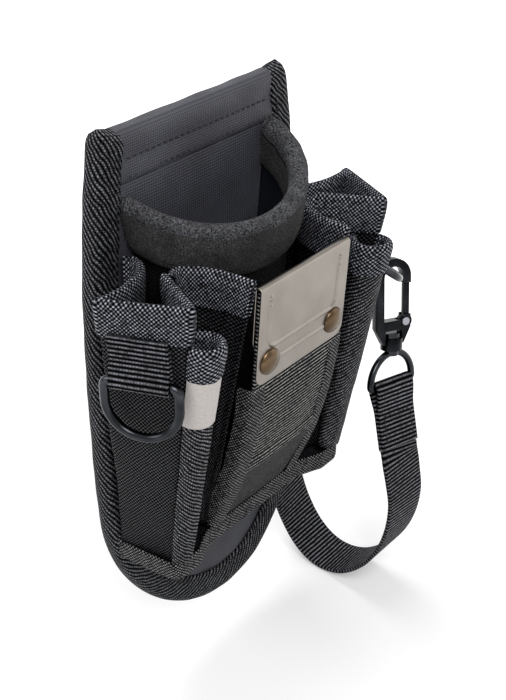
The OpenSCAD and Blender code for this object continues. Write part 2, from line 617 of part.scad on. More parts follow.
function heading(p, i) = unit(p[min(len(p) - 1, i + 1)] - p[max(0, i - 1)]);
module ribbon(route, w, t, first_side, last_side) {
    path = smooth(route, route_steps);
    n = len(path);
    corners = [for (i = [0:n - 1]) let (h = heading(path, i), k = min(1, 3 * i / n),
        s0 = first_side * (1 - k) + last_side * k, s = unit(s0 - h * (s0 * h)), up = cross(h, s)) each
        [path[i] + s * w / 2 + up * t / 2, path[i] - s * w / 2 + up * t / 2,
         path[i] - s * w / 2 - up * t / 2, path[i] + s * w / 2 - up * t / 2]];
    sides = [for (i = [0:n - 2]) for (k = [0:3]) let (a = 4 * i + k, b = 4 * i + (k + 1) % 4) each
        [[a, a + 4, b + 4], [a, b + 4, b]]];
    m = 4 * (n - 1);
    polyhedron(corners, concat(sides, [[0, 1, 2], [0, 2, 3], [m + 2, m + 1, m], [m + 3, m + 2, m]]));
}
module tape_strap() color("#2a2a2e") on_panel()
    ribbon(strap_route, web_w, web_t, strap_cut_side, strap_sewn_side);

back_panel_front_skin();
back_panel_board();
back_panel_rear_skin();
panel_edge_binding();
top_hem();
belt_loop();
main_pocket_shell();
main_pocket_liner();
main_pocket_rim();
centre_pocket_front();
centre_pocket_flap();
left_centre_gusset();
right_centre_gusset();
left_pocket_wall();
right_pocket_wall();
left_mouth_tape();
right_mouth_tape();
left_pen_pocket();
right_pen_pocket();
left_pen_tape();
right_pen_tape();
pocket_floor();
floor_tape();
side_label();
left_ring_tab();
right_ring_tab();
left_d_ring();
right_d_ring();
tape_clip();
clip_rivets();
rivet_washers();
tape_strap();
strap_end_loop();
swivel_eye();
hook_frame();
gate_pin();
hook_gate();
gate_spring();
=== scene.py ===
from math import cos, pi, radians, sin, sqrt
import bmesh
import bpy
from mathutils import Matrix, Vector, noise


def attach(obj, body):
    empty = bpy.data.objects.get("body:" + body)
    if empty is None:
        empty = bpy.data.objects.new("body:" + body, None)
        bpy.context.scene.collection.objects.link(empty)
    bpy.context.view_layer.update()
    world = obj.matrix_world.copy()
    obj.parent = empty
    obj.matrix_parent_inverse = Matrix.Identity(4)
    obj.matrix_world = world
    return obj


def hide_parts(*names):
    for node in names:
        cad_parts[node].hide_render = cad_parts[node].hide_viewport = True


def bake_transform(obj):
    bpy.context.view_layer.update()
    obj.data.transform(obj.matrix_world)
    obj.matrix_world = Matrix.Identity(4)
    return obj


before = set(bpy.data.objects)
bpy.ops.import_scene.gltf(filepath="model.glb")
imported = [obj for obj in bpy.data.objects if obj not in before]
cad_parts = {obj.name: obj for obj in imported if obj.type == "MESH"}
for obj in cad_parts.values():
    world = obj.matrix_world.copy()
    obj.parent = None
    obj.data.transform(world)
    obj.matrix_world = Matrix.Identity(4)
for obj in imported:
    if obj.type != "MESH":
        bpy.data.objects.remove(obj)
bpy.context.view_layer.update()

mm = 0.001

# Pieces are laid out in millimetres from the panel's front face and lowest point.
# The frame's own origin is the middle of the belt tunnel.
tunnel = {"behind": 9.0, "up": 190.0}


def spot(x, y, z):
    return Vector((x, y - tunnel["behind"], z - tunnel["up"])) * mm


# paths and cloth
def curvePoint(points, u):
    last = len(points) - 1
    x = min(max(u, 0.0), 1.0) * last
    i = min(int(x), last - 1)
    f = x - i
    a, b, c, d = (Vector(points[max(0, min(last, k))]) for k in (i - 1, i, i + 1, i + 2))
    bend = (2 * a - 5 * b + 4 * c - d) * f * f + (3 * b - a - 3 * c + d) * f ** 3
    return (2 * b + (c - a) * f + bend) * 0.5


def curveSide(points, u):
    step = curvePoint(points, min(1, u + 0.004)) - curvePoint(points, max(0, u - 0.004))
    return Vector((-step.y, step.x)).normalized()


def evenRoute(points):
    # the same curve with its parameter in proportion to its length
    dense = [curvePoint(points, i / (12 * len(points))) for i in range(12 * len(points) + 1)]
    run = [0.0]
    for a, b in zip(dense, dense[1:]):
        run.append(run[-1] + (b - a).length)

    def at(u):
        goal = min(max(u, 0.0), 1.0) * run[-1]
        k = next((i for i in range(1, len(run)) if run[i] >= goal), len(run) - 1)
        share = (goal - run[k - 1]) / max(run[k] - run[k - 1], 1e-9)
        return dense[k - 1].lerp(dense[k], share)
    return at, run[-1]


def wander(x, y, z, size):
    # a smooth wrinkle between -1 and 1, with its bumps about that many millimetres apart
    return noise.noise(Vector((x, y, z)) / size)


def distances(at, count=80):
    # how far along a line each share of it lies
    run = [0.0]
    for i in range(count):
        run.append(run[-1] + (at((i + 1) / count) - at(i / count)).length)

    def far(share):
        k = min(int(share * count), count - 1)
        return run[k] + (run[k + 1] - run[k]) * (share * count - k)
    return far


def clothGrid(across, up, where):
    # a grid laid on where(u, v), which keeps how far along the cloth each corner lies, in metres
    bm = bmesh.new()
    cloth = bm.verts.layers.float_vector.new("cloth")
    bmesh.ops.create_grid(bm, x_segments=across, y_segments=up, size=1)
    wide, tall = distances(lambda u: where(u, 0.5)), distances(lambda w: where(0.5, w))
    for v in bm.verts:
        u, w = (v.co.x + 1) / 2, (v.co.y + 1) / 2
        v[cloth] = (wide(u) * mm, tall(w) * mm, 0)
        v.co = spot(*where(u, w))
    bmesh.ops.remove_doubles(bm, verts=bm.verts, dist=0.02 * mm)
    return bm


def addPiece(name, bm, material, slot, stands=(), body="pouch", thick=0, levels=0):
    bmesh.ops.recalc_face_normals(bm, faces=bm.faces)
    mesh = bpy.data.meshes.new(name)
    bm.to_mesh(mesh)
    bm.free()
    mesh.materials.append(material)
    mesh.polygons.foreach_set("use_smooth", [True] * len(mesh.polygons))
    piece = bpy.data.objects.new(name, mesh)
    bpy.context.scene.collection.objects.link(piece)
    if thick:
        wall = piece.modifiers.new("thickness", "SOLIDIFY")
        wall.thickness = thick * mm
        wall.offset = 0
    if levels:
        rounding = piece.modifiers.new("rounding", "SUBSURF")
        rounding.levels = rounding.render_levels = levels
    if body:
        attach(piece, body)
    if stands:
        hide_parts(*stands)
    return piece


def dress(node, finish):
    # a piece of the frame that keeps its own shape
    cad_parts[node].data.materials.clear()
    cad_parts[node].data.materials.append(look[finish])


def mirrored(bm):
    twin = bm.copy()
    for v in twin.verts:
        v.co.x = -v.co.x
    bmesh.ops.reverse_faces(twin, faces=twin.faces)
    return twin


stitch = {"long": 2.6, "gap": 0.9, "wide": 0.42}


def stitchRow(name, points, out, body="pouch", long=None):
    # short threads lying on the cloth; out is the way the cloth faces, or a function of the place
    bm = bmesh.new()
    bm.verts.layers.float_vector.new("cloth")
    at, total = evenRoute(points)
    each = (long or stitch["long"]) + stitch["gap"]
    count = max(1, int(total / each))
    for i in range(count):
        a, b = at(i / count), at((i + 1 - stitch["gap"] / each) / count)
        along = (b - a).normalized()
        face = (out(a) if callable(out) else Vector(out)).normalized()
        side = face.cross(along).normalized()
        face = along.cross(side)
        turn = Matrix((side, face, along)).transposed().to_4x4()
        middle = spot(*((a + b) / 2))
        made = bmesh.ops.create_icosphere(bm, subdivisions=1, radius=1)
        size = Matrix.Diagonal((stitch["wide"] * mm, stitch["wide"] * 0.7 * mm,
                                (b - a).length / 2 * mm, 1))
        bmesh.ops.transform(bm, verts=made["verts"], matrix=Matrix.Translation(middle) @ turn @ size)
    return addPiece(name, bm, look["thread"], None, body=body)


# Every colour is written as it looks, and turned to linear here.
def tint(code):
    parts = [int(code[i:i + 2], 16) / 255 for i in (1, 3, 5)]
    return tuple(c / 12.92 if c <= 0.04045 else ((c + 0.055) / 1.055) ** 2.4 for c in parts) + (1,)


def addNode(tree, kind, inputs, out=0, **settings):
    # inputs are values or sockets, in order or by name; the output asked for comes back
    node = tree.nodes.new("ShaderNode" + kind)
    for key, value in settings.items():
        setattr(node, key, value)
    for key, value in inputs.items() if isinstance(inputs, dict) else enumerate(inputs):
        if isinstance(value, bpy.types.NodeSocket):
            tree.links.new(value, node.inputs[key])
        else:
            node.inputs[key].default_value = value
    return node.outputs[out]


def newMaterial(name, **uniform):
    material = bpy.data.materials.new(name)
    material.use_nodes = True
    shader = material.node_tree.nodes["Principled BSDF"]
    for key, value in uniform.items():
        shader.inputs[key].default_value = value
    return material, material.node_tree, shader


def withRelief(material, tree, shader, height, lift, strength, **links):
    # the last links of every finish: its sockets, and its relief in millimetres
    bump = addNode(tree, "Bump", {"Height": height, "Distance": lift * mm, "Strength": strength})
    tree.links.new(bump, shader.inputs["Normal"])
    for name, value in links.items():
        tree.links.new(value, shader.inputs[name.replace("_", " ")])
    return material


times, plus, less = ({"operation": name} for name in ("MULTIPLY", "ADD", "SUBTRACT"))
sine = {"operation": "SINE"}


def wovenCloth(name, pattern, pitch, dark, light, rough=0.6, lift=0.3, glint=0.9, drift=0.18):
    # Ballistic nylon: thick shiny yarns over and under each other. Each crossing is a small bead with a
    # painted highlight in its colour, and the gaps between the yarns are painted shade, nearly black.
    material, tree, shader = newMaterial(name)
    cloth = addNode(tree, "Attribute", (), "Vector", attribute_name="cloth")
    place = addNode(tree, "TexCoord", (), "Object")
    # the yarns wander a little from their straight lines
    blur = addNode(tree, "TexNoise", {"Vector": cloth, "Scale": 1 / (7 * mm), "Detail": 1.0}, "Color")
    sway = addNode(tree, "VectorMath", (blur, (0.5, 0.5, 0.5)), **less)
    sway = addNode(tree, "VectorMath", {0: sway, "Scale": drift * pitch[0] * mm * 4}, operation="SCALE")
    yarns = addNode(tree, "VectorMath", (cloth, sway), **plus)
    axes = addNode(tree, "SeparateXYZ", (yarns,)).node.outputs
    s, t = (addNode(tree, "Math", (axes[k], 2 * pi / (pitch[k] * mm)), **times) for k in (0, 1))
    sineS, sineT = (addNode(tree, "Math", (k,), **sine) for k in (s, t))
    if pattern == "basket":
        wave = addNode(tree, "Math", (sineS, sineT), **times)
    elif pattern == "twill":
        # slanting ribs, each broken into small yarn beads
        beads = addNode(tree, "Math", (s, 2.0), **times)
        beads = addNode(tree, "Math", (addNode(tree, "Math", (beads, t), **less),), **sine)
        beads = addNode(tree, "Math", (addNode(tree, "Math", (beads, 0.42), **times), 0.58), **plus)
        slant = addNode(tree, "Math", (addNode(tree, "Math", (s, t), **plus),), **sine)
        wave = addNode(tree, "Math", (slant, beads), **times)
    else:
        # ribs run across: a strong wave up the cloth and small yarn beads along each rib
        beads = addNode(tree, "Math", (addNode(tree, "Math", (sineS, 0.22), **times), 0.78), **plus)
        wave = addNode(tree, "Math", (sineT, beads), **times)
    high = addNode(tree, "MapRange", (wave, -1.0, 1.0, 0.0, 1.0))
    fineSpeckle = addNode(tree, "TexNoise", {"Vector": place, "Scale": 1 / (1.6 * mm), "Detail": 2.0})
    patch = addNode(tree, "TexNoise", {"Vector": place, "Scale": 1 / (22 * mm), "Detail": 2.0})
    # the bright colour is a painted highlight on each yarn bead: narrowed by the power, broken into
    # painted sparkle by the fine noise, and dimmer in broad patches set by glint
    share = addNode(tree, "Math", (high, 4.0), operation="POWER")
    for uneven in ((fineSpeckle, 0.34, 0.66, 0.2, 2.0), (patch, 0.3, 0.7, 0.7 * glint, glint)):
        share = addNode(tree, "Math", (share, addNode(tree, "MapRange", uneven)), **times)
    # the colour runs from painted shade in the gaps to the painted highlight on the beads
    colour = addNode(tree, "Mix", {0: share, 6: tint(dark), 7: tint(light)}, 2, data_type="RGBA")
    shine = addNode(tree, "MapRange", (high, 0.35, 1.0, 0.0, 0.5))
    gloss = addNode(tree, "MapRange", (fineSpeckle, 0.2, 0.8, rough - 0.12, rough + 0.12))
    return withRelief(material, tree, shader, high, lift, 0.9, Base_Color=colour,
                      Specular_IOR_Level=shine, Roughness=gloss)


def coatedCloth(name, base, pale, ribs=0.0, rough=0.42):
    # PVC-coated polyester, calendered: a semi-matt film through which the fine weave shows, with
    # a faint pebble and soft creases
    material, tree, shader = newMaterial(name, **{"Specular IOR Level": 0.28})
    place = addNode(tree, "TexCoord", (), "Object")
    pebble = addNode(tree, "TexVoronoi", {"Vector": place, "Scale": 1 / (0.9 * mm)}, "Distance")
    cloud = addNode(tree, "TexNoise", {"Vector": place, "Scale": 1 / (35 * mm), "Detail": 4.0})
    crease = addNode(tree, "TexNoise", {"Vector": place, "Scale": 1 / (14 * mm), "Detail": 2.0})
    share = addNode(tree, "MapRange", (cloud, 0.3, 0.7, 0.0, 1.0))
    pebble = addNode(tree, "Math", (pebble, 0.25), **times)
    height = addNode(tree, "Math", (pebble, addNode(tree, "Math", (crease, 1.4), **times)), **plus)
    if ribs:
        axes = addNode(tree, "SeparateXYZ", (place,)).node.outputs
        s, t = (addNode(tree, "Math", (axes[k], 2 * pi / (ribs * mm)), **times) for k in (0, 2))
        slants = [addNode(tree, "Math", (addNode(tree, "Math", (s, t), **way),), **sine)
                  for way in (plus, less)]
        wave = addNode(tree, "Math", slants, **times)
        # the weave fades into the smooth film lower down the panel
        fade = addNode(tree, "MapRange", (axes[2], -80 * mm, -40 * mm, 0.1, 1.0))
        wave = addNode(tree, "Math", (wave, fade), **times)
        share = addNode(tree, "Math", (share, 0.5), **times)
        share = addNode(tree, "Math", (share, addNode(tree, "Math", (wave, 0.6), **times)), **plus)
        height = addNode(tree, "Math", (height, addNode(tree, "Math", (wave, 0.5), **times)), **plus)
    colour = addNode(tree, "Mix", {0: share, 6: tint(base), 7: tint(pale)}, 2, data_type="RGBA")
    gloss = addNode(tree, "MapRange", (crease, 0.3, 0.7, rough - 0.08, rough + 0.12))
    return withRelief(material, tree, shader, height, 0.3, 0.6, Base_Color=colour, Roughness=gloss)


def brushedPile(name, dark, light, scale, lift):
    # brushed polyester velour over felt: a short fuzzy pile with no thread to be seen
    material, tree, shader = newMaterial(name, **{"Sheen Weight": 0.06, "Sheen Roughness": 0.6,
                                                  "Sheen Tint": tint("#8a8a86"), "Roughness": 0.9,
                                                  "Specular IOR Level": 0.15})
    place = addNode(tree, "TexCoord", (), "Object")
    fuzz = addNode(tree, "TexNoise", {"Vector": place, "Scale": 1 / (scale * mm), "Detail": 5.0,
                                      "Roughness": 0.75})
    patch = addNode(tree, "TexNoise", {"Vector": place, "Scale": 1 / (9 * mm), "Detail": 3.0})
    speck = addNode(tree, "MapRange", (fuzz, 0.42, 0.68, 0.0, 1.0))
    patch = addNode(tree, "MapRange", (patch, 0.3, 0.7, 0.5, 1.0))
    share = addNode(tree, "Math", (speck, patch), **times)
    colour = addNode(tree, "Mix", {0: share, 6: tint(dark), 7: tint(light)}, 2, data_type="RGBA")
    return withRelief(material, tree, shader, fuzz, lift, 1.0, Base_Color=colour)


def metalFinish(name, base, worn, rough, grain=0.0, across=(1, 1, 1)):
    # rolled, cast or plated metal: broad smears in the gloss, and a brushed grain where it has one
    material, tree, shader = newMaterial(name, Metallic=1.0)
    place = addNode(tree, "TexCoord", (), "Object")
    stretched = addNode(tree, "Mapping", {"Vector": place, "Scale": across})
    smear = addNode(tree, "TexNoise", {"Vector": place, "Scale": 1 / (16 * mm), "Detail": 2.0})
    line = addNode(tree, "TexNoise", {"Vector": stretched, "Scale": 1 / (0.5 * mm), "Detail": 3.0})
    share = addNode(tree, "MapRange", (smear, 0.35, 0.7, 0.0, 1.0))
    colour = addNode(tree, "Mix", {0: share, 6: tint(base), 7: tint(worn)}, 2, data_type="RGBA")
    smear = addNode(tree, "MapRange", (smear, 0.3, 0.7, -0.03, 0.04))
    gloss = addNode(tree, "Math", (smear, rough), **plus)
    gloss = addNode(tree, "Math", (gloss, addNode(tree, "Math", (line, grain), **times)), **plus)
    return withRelief(material, tree, shader, line, 0.01 + 0.05 * grain, 0.5, Base_Color=colour,
                      Roughness=gloss)


def wovenLabel(name):
    # damask label: pale fine satin weave with fuzzy cut edges, left bare
    material, tree, shader = newMaterial(name, **{"Specular IOR Level": 0.3, "Sheen Weight": 0.2})
    cloth = addNode(tree, "Attribute", (), "Vector", attribute_name="cloth")
    axes = addNode(tree, "SeparateXYZ", (cloth,)).node.outputs
    waves = [addNode(tree, "Math", (axes[k], 2 * pi / (pitch * mm)), **times)
             for k, pitch in ((0, 0.5), (1, 0.6))]
    wave = addNode(tree, "Math", [addNode(tree, "Math", (k,), **sine) for k in waves], **times)
    high = addNode(tree, "MapRange", (wave, -1.0, 1.0, 0.0, 1.0))
    fineSpeckle = addNode(tree, "TexNoise", {"Vector": cloth, "Scale": 1 / (1.1 * mm), "Detail": 4.0})
    share = addNode(tree, "MapRange", (fineSpeckle, 0.3, 0.7, 0.5, 1.0))
    share = addNode(tree, "Math", (high, share), **times)
    colour = addNode(tree, "Mix", {0: share, 6: tint("#aaa3a0"), 7: tint("#e6dfdb")}, 2,
                     data_type="RGBA")
    gloss = addNode(tree, "MapRange", (fineSpeckle, 0.0, 1.0, 0.6, 0.85))
    return withRelief(material, tree, shader, high, 0.1, 0.6, Base_Color=colour, Roughness=gloss)


look = {
    # In each woven cloth below, the first colour is the painted shade between the yarns and the second
    # the painted highlight on the yarn beads.
    "basket": wovenCloth("basketNylon", "basket", (1.9, 1.9), "#030304", "#b6b9c6", lift=0.4, glint=1.0),
    "wall": wovenCloth("pocketNylon", "basket", (1.8, 2.0), "#020203", "#46474c", lift=0.4, glint=0.95),
    "pen": wovenCloth("penNylon", "twill", (2.8, 2.1), "#020203", "#9c9da2", lift=0.4, glint=0.95),
    "tape": wovenCloth("edgeBasket", "basket", (1.8, 1.7), "#050506", "#979799", lift=0.4, glint=1.0),
    "binding": wovenCloth("edgeTape", "twill", (3.2, 2.2), "#020203", "#7f8187", lift=0.4, glint=1.0),
    "ribbed": wovenCloth("cordedCloth", "rib", (1.3, 1.9), "#020202", "#a3a2a0", lift=0.5,
                         glint=1.0, drift=0.1),
    "flap": wovenCloth("fineCorded", "rib", (0.9, 1.25), "#030303", "#626261", glint=1.0),
    "webbing": wovenCloth("nylonWebbing", "rib", (1.3, 2.1), "#060607", "#7d7e86", lift=0.5,
                          glint=1.0, drift=0.06),
    "shell": wovenCloth("plainNylon", "basket", (1.2, 1.2), "#060607", "#34353a", glint=0.6),
    "skin": coatedCloth("coatedSkin", "#35353b", "#595b64", ribs=2.6),
    "hem": coatedCloth("coatedHem", "#2e2e33", "#55565f", ribs=2.2, rough=0.5),
    "liner": coatedCloth("coatedLiner", "#07090e", "#12151d", rough=0.5),
    "rear": wovenCloth("rearNylon", "basket", (1.2, 1.2), "#08080a", "#45464c", glint=0.8),
    "rim": brushedPile("rimVelour", "#0e0e0e", "#666566", 0.6, 0.5),
    "roll": brushedPile("rimKnit", "#0a0a0b", "#85868b", 0.8, 0.7),
    "thread": wovenCloth("bondedThread", "twill", (0.8, 0.8), "#1b1b1d", "#4d4e53", lift=0.05),
    "label": wovenLabel("damaskLabel"),
    "board": coatedCloth("stiffenerBoard", "#1c1c1e", "#232326", rough=0.6),
    "steel": metalFinish("brushedStainless", "#7c766f", "#87817b", 0.24, grain=0.12, across=(1, 1, 0.03)),
    "rivet": metalFinish("antiqueNickel", "#43362a", "#66543f", 0.22),
    "ring": metalFinish("gunmetalPlate", "#232427", "#393b3f", 0.13),
    "hook": metalFinish("blackPlatedZinc", "#141517", "#242528", 0.3),
    "pin": metalFinish("zincPlatedSteel", "#77797e", "#94979c", 0.25),
}
print("materials made:", len(look))

# back panel
panel = {"topWide": 115, "wide": 136, "tall": 256, "toe": 77, "waist": 140, "middle": 2.75,
         "lean": 10, "leanFrom": 105, "corner": 7, "knob": 2.2, "toeRows": 0.4, "underHem": 1.5}


def panelHalf(z, inset=0.0):
    if z < panel["toe"]:
        reach = (panel["toe"] - z) / (panel["toe"] - inset)
        return (panel["wide"] / 2 - inset) * sqrt(max(0.0, 1 - reach * reach))
    k = max(0.0, (z - panel["waist"]) / (panel["tall"] - panel["waist"]))
    return panel["wide"] / 2 - inset + (panel["topWide"] - panel["wide"]) / 2 * k * k


def panelLean(z):
    # the toe curls a little towards the front
    return -panel["lean"] * max(0.0, 1 - z / panel["leanFrom"]) ** 2


def skinGrid(y, swell, inset=2.0):
    def where(u, w):
        turn = min(1.0, w / panel["toeRows"]) * pi / 2
        if w < panel["toeRows"]:
            z = panel["toe"] - (panel["toe"] - inset) * cos(turn)
        else:
            rise = panel["tall"] - panel["underHem"] - panel["toe"]
            z = panel["toe"] + rise * (w - panel["toeRows"]) / (1 - panel["toeRows"])
        x = (2 * u - 1) * panelHalf(z, inset)
        edge = 1 - abs(2 * u - 1) ** 6
        crease = wander(x, 0, z * 0.6, 26) * 0.9 + wander(x, 5, z, 11) * 0.25
        return Vector((x, y + panelLean(z) + swell * (edge * 0.9 + crease), z))
    return clothGrid(60, 120, where)


addPiece("panelFrontSkin", skinGrid(0.1, -0.6), look["skin"], "coated_cloth",
         ["back_panel_front_skin"], thick=0.8)
addPiece("panelRearSkin", skinGrid(5.4, 0.5), look["rear"], "rear_cloth",
         ["back_panel_rear_skin"], thick=0.8)
addPiece("panelBoard", skinGrid(panel["middle"], 0.0, 4.0), look["board"], "board",
         ["back_panel_board"], thick=1.8)


def outlinePoints(step=26):
    half = [Vector((panel["wide"] / 2 * sin(a), 0, panel["toe"] * (1 - cos(a))))
            for a in (pi / 2 * i / step for i in range(step + 1))]
    rise = panel["tall"] + panel["knob"] - panel["toe"]
    half += [Vector((panelHalf(z), 0, z))
             for z in (panel["toe"] + rise * i / 20 for i in range(1, 21))]
    return [Vector((-p.x, 0, p.z)) for p in reversed(half[1:])] + half


edgeRoute, edgeLong = evenRoute(outlinePoints())
# (how far in from the edge, how far behind the front face) round the folded tape
edgeFold = [(12.6, -0.9), (12.2, -1.9), (10.6, -2.3), (8.0, -2.5), (4.5, -2.6), (1.8, -1.8), (0.5, 0.1),
            (0.15, 2.75), (0.5, 5.2), (1.8, 7.0), (4.5, 7.4), (8.0, 7.0), (12.0, 6.2)]


def edgeSpot(u, w):
    p = edgeRoute(u)
    ahead, behind = edgeRoute(min(1, u + 0.004)), edgeRoute(max(0, u - 0.004))
    along = (ahead - behind).normalized()
    inward = Vector((-along.z, 0, along.x))
    fold = curvePoint(edgeFold, w)
    soft = 1 + 0.12 * wander(u * edgeLong, 0, w * 9, 13)
    at = p + inward * fold.x * (0.97 + 0.03 * soft)
    # the tape ends in a rounded knob at the top corners
    left = max(0.0, 1 - min(u, 1 - u) * edgeLong / panel["corner"])
    shut = sqrt(max(0.0, 1 - left ** 2.5))
    pull = (fold.x - 6.3) * (1 - shut) * 0.35
    out = (fold.y - panel["middle"]) * soft * shut
    return Vector((at.x - inward.x * pull, panel["middle"] + out + panelLean(max(0, at.z)), at.z))


addPiece("panelBinding", clothGrid(300, 26, edgeSpot), look["binding"], "binding_tape",
         ["panel_edge_binding"], thick=1.0)


def edgeLine(inset, y):
    points = []
    for i in range(2, 119):
        u = i / 120
        along = (edgeRoute(min(1, u + 0.004)) - edgeRoute(max(0, u - 0.004))).normalized()
        at = edgeRoute(u) + Vector((-along.z, 0, along.x)) * inset
        points.append(Vector((at.x, y + panelLean(at.z), at.z)))
    return points


stitchRow("bindingStitches", edgeLine(10.4, -2.95), (0, -1, 0))
stitchRow("bindingRearStitches", edgeLine(10.6, 7.1), (0, 1, 0))

hem = {"half": 47.5, "rows": (10.5, 18.5), "down": 1.2}
hemFold = [(-0.9, -20), (-1.25, -19), (-1.3, -16), (-1.0, -11), (-1.7, -6), (-1.5, -1.6), (0.6, 0.6),
           (2.75, 1.0), (5.0, 0.6), (6.6, -1.6), (6.8, -6), (6.5, -14), (6.2, -20)]


def hemSpot(u, w):
    fold = curvePoint(hemFold, w)
    x = (2 * u - 1) * hem["half"]
    soft = wander(x, fold.y, 3, 14)
    z = panel["tall"] - hem["down"] + fold.y + 0.3 * soft * (fold.y > -18)
    return Vector((x, fold.x + 0.22 * soft, z))


addPiece("topHem", clothGrid(80, 44, hemSpot), look["hem"], "hem_cloth", ["top_hem"], thick=1.1)
for i, drop in enumerate(hem["rows"]):
    line = [(x, -1.7, panel["tall"] - hem["down"] - drop) for x in range(-44, 45, 4)]
    stitchRow("hemStitches%d" % (i + 1), line, (0, -1, 0))
print("back panel made")

# belt loop behind the panel
beltLoop = {"wide": 70, "thick": 2.4, "seamIn": 3, "seams": ((148, 157.5), (222.5, 232))}
loopLine = [(6.8, 146), (6.8, 152), (6.9, 157), (8.2, 160.3), (11.4, 161.3), (13.3, 163), (13.8, 168),
            (13.9, 179), (13.9, 190), (13.9, 201), (13.8, 212), (13.3, 217), (11.4, 218.7), (8.2, 219.7),
            (6.9, 223), (6.8, 228), (6.8, 234)]


def loopSpot(u, w):
    p = curvePoint(loopLine, w)
    x = (2 * u - 1) * beltLoop["wide"] / 2
    bow = 0.35 * wander(x, 0, p.y, 30) if 168 < p.y < 212 else 0
    return Vector((x, p.x + bow, p.y))


addPiece("beltLoop", clothGrid(30, 90, loopSpot), look["webbing"], "webbing", ["belt_loop"],
         thick=beltLoop["thick"])
for i, (z0, z1) in enumerate(beltLoop["seams"]):
    half, y = beltLoop["wide"] / 2 - beltLoop["seamIn"], 8.1
    box = [(-half, y, z0), (half, y, z0), (half, y, z1), (-half, y, z1), (-half, y, z0)]
    sides = [[Vector(box[k]).lerp(Vector(box[k + 1]), j / 6) for j in range(7)] for k in range(4)]
    for k, seam in enumerate(sides):
        stitchRow("loopStitches%d%d" % (i + 1, k + 1), seam, (0, 1, 0))
print("belt loop made")

# main pocket
mainPocket = {"footWide": 50, "footDeep": 22, "foot": 78, "mouthWide": 92, "mouthDeep": 44,
              "mouth": 231, "fall": 15, "tilt": 4.0}


def mouthHeight(x, y):
    return mainPocket["mouth"] + mainPocket["fall"] * y / mainPocket["mouthDeep"] \
        + mainPocket["tilt"] * x / (mainPocket["mouthWide"] / 2)


def bodySpot(turn, z, out, soft=0.0):
    # a point of the half-round body at that angle and height, moved outwards
    k = (z - mainPocket["foot"]) / (mainPocket["mouth"] - mainPocket["foot"])
    half = mainPocket["footWide"] / 2 + (mainPocket["mouthWide"] - mainPocket["footWide"]) / 2 * k + out
    deep = mainPocket["footDeep"] + (mainPocket["mouthDeep"] - mainPocket["footDeep"]) * k + out
    ripple = soft * wander(cos(turn) * 40, sin(turn) * 40, z * 0.35, 14)
    return Vector((-(half + ripple) * cos(turn), -(deep + ripple) * sin(turn), z))


def shellSpot(out, low, soft):
    def where(u, w):
        turn = radians(1 + 178 * u)
        rim = bodySpot(turn, mainPocket["mouth"], out)
        z = low + (mouthHeight(rim.x, rim.y) - 1.6 - low) * w
        p = bodySpot(turn, z, out, soft * min(1, 4 * (1 - w)))
        return Vector((p.x, min(p.y, -0.9), p.z))
    return where


addPiece("mainPocketShell", clothGrid(72, 60, shellSpot(-0.7, 78.5, 0.7)), look["shell"], "shell_cloth",
         ["main_pocket_shell"], thick=1.1)
addPiece("mainPocketLiner", clothGrid(72, 60, shellSpot(-2.2, 79, 0.4)), look["liner"], "liner_sheet",
         ["main_pocket_liner"], thick=0.8)

# (outwards, height over the mouth) round the thick band
rimFold = [(0.5, -22), (1.9, -21.2), (2.7, -18.5), (3.1, -13), (3.2, -7), (2.7, -2.8), (1.2, -0.6),
           (-1.4, -0.6), (-3.6, -2.4), (-4.3, -6.5), (-4.2, -12), (-3.9, -16.5), (-3.5, -18.5)]


def rimSpot(fold, soft, size):
    def where(u, w):
        turn = radians(0.8 + 178.4 * u)
        f = curvePoint(fold, w)
        edge = bodySpot(turn, mainPocket["mouth"] - 6, 0)
        top = mouthHeight(edge.x, edge.y)
        lump = soft * wander(u * 150, f.x * 2, f.y, size)
        p = bodySpot(turn, top + f.y, f.x + lump)
        return Vector((p.x, min(p.y, -0.4), p.z + 0.4 * lump))
    return where


addPiece("mainPocketRim", clothGrid(150, 44, rimSpot(rimFold, 0.55, 13)), look["rim"], "rim_felt",
         ["main_pocket_rim"], thick=1.0, levels=1)
rollFold = [(2.6, -3.6), (3.0, -2.2), (2.5, -0.3), (0.9, 1.2), (-1.2, 1.6), (-3.3, 0.4), (-4.4, -1.9),
            (-4.5, -5.6)]
addPiece("rimRoll", clothGrid(170, 22, rimSpot(rollFold, 0.5, 7)), look["roll"], "rim_felt", thick=0.9)


def rimLine(out, drop):
    at = rimSpot([(out, drop), (out, drop), (out, drop)], 0.0, 10)
    return [at(i / 60, 0.5) for i in range(1, 60)]


def fromMiddle(p):
    return Vector((p.x, p.y * 1.05, 0.0)) if abs(p.y) + abs(p.x) > 1 else Vector((0, -1, 0))


stitchRow("rimStitches", rimLine(3.55, -17.6), fromMiddle)
for name, u in (("rimTackLeft", 0.045), ("rimTackRight", 0.955)):
    tack = [rimSpot([(3.6, -4 - 2.6 * i)] * 3, 0.0, 10)(u, 0.5) for i in range(6)]
    stitchRow(name, tack, fromMiddle)
print("main pocket made")

# side pockets: the same control points low and high, left side
side = {"foot": 64, "mouth": 203, "gussetFoot": 67, "penFoot": 67, "penMouth": 185, "bow": 1.3}
sideHigh = [(-50, -2.4), (-47.6, -5.6), (-48.0, -9.2), (-50.4, -12.6), (-56, -16.8), (-66, -19.9),
            (-77, -20.2), (-80.4, -19.4), (-80.4, -21.4), (-74, -34), (-67, -47.6), (-64.8, -51.6),
            (-63.4, -51.2), (-60.2, -45.4), (-56.2, -37.4), (-52.2, -29.6), (-50, -25)]
sideLow = [(-50, -2.6), (-51.5, -2.9), (-53, -3.1), (-54.5, -3.1), (-56, -3.2), (-59, -3.2),
           (-61.4, -3.4), (-62.4, -4.4), (-62.4, -6), (-60.6, -17), (-58.9, -28.6), (-58.4, -30.8),
           (-57.4, -30.2), (-55, -27.8), (-52, -25), (-42, -21.4), (-36, -20)]


def flat(points):
    return [Vector((p[0], p[1], 0)) for p in points]


def between(low, high, z0, z1):
    def path(z):
        k = (z - z0) / (z1 - z0)
        return [a.lerp(b, k) for a, b in zip(flat(low), flat(high))]
    return path


